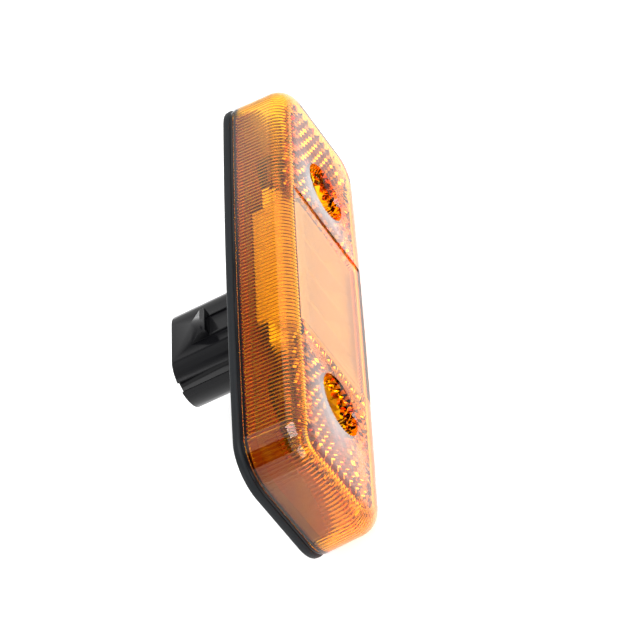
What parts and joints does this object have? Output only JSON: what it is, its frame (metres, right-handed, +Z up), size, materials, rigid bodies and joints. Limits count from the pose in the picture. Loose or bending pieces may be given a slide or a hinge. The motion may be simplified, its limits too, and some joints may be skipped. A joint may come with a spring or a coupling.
{
  "type": "side marker lamp",
  "caption": "Amber side marker lamp with a fluted lens, reflex reflector zones, screw wells, a rubber mounting pad and a round-ended plug socket behind.",
  "frame": {"origin": "centre of the mounting face, midway between the two fixing screws", "axes": "+X along the lamp, -Y out of the lens, +Y through the panel towards the plug socket, +Z up"},
  "size_m": [0.115, 0.0346, 0.0342],
  "materials": {
    "amber_lens": "gloss",
    "pad_rubber": "matte",
    "black_plastic": "gloss",
    "white_plastic": "satin",
    "board": "satin",
    "seal_compound": "satin",
    "contact": "satin",
    "light_source": "gloss",
    "component": "matte",
    "capacitor": "satin"
  },
  "bodies": {
    "root": {"lens": "amber_lens", "mounting_pad": "pad_rubber", "base_housing": "black_plastic", "light_box": "white_plastic", "circuit_board": "board", "pin_seal": "seal_compound", "supply_pin": "contact", "ground_pin": "contact", "led_left_outer": "light_source", "led_left_inner": "light_source", "led_right_inner": "light_source", "led_right_outer": "light_source", "resistor_left": "component", "resistor_right": "component", "protection_diode": "component", "surge_absorber": "component", "filter_capacitor": "capacitor"}
  },
  "joints": []
}
